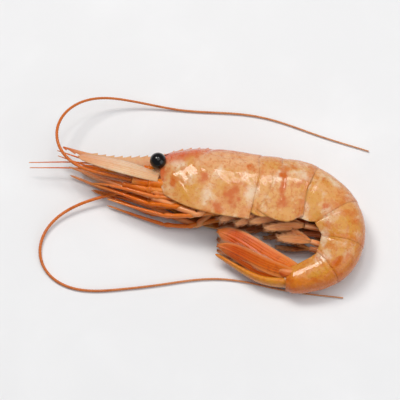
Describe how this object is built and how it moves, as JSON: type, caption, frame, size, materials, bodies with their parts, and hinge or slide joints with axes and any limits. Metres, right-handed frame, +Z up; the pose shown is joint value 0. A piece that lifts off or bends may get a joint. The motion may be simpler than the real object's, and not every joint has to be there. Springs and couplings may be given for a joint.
{
  "type": "raw botan shrimp",
  "caption": "Whole raw shrimp in its shell, lying on its side with the tail curled under, with toothed beak, stalked eyes, folded legs and long feelers.",
  "frame": {"origin": "middle of the bounding box in plan, on the surface that the shrimp lies on", "axes": "+X from the head towards the bend of the tail, +Y from the belly towards the back, +Z up through the left side of the body"},
  "size_m": [0.1458, 0.0896, 0.0232],
  "materials": {
    "shell": "wet translucent shell, pale peach with orange mottling and a red-orange crest",
    "tail_fan": "wet red-orange blades with pale pink edges",
    "limbs": "wet orange-pink jointed legs and swimmerets",
    "feelers": "thin stiff orange-brown whips, paler towards the tip",
    "eyes": "glossy black ball on a pale stalk"
  },
  "bodies": {
    "root": {"shrimp": "shell", "left_feeler": "feelers", "right_feeler": "feelers"}
  },
  "joints": []
}
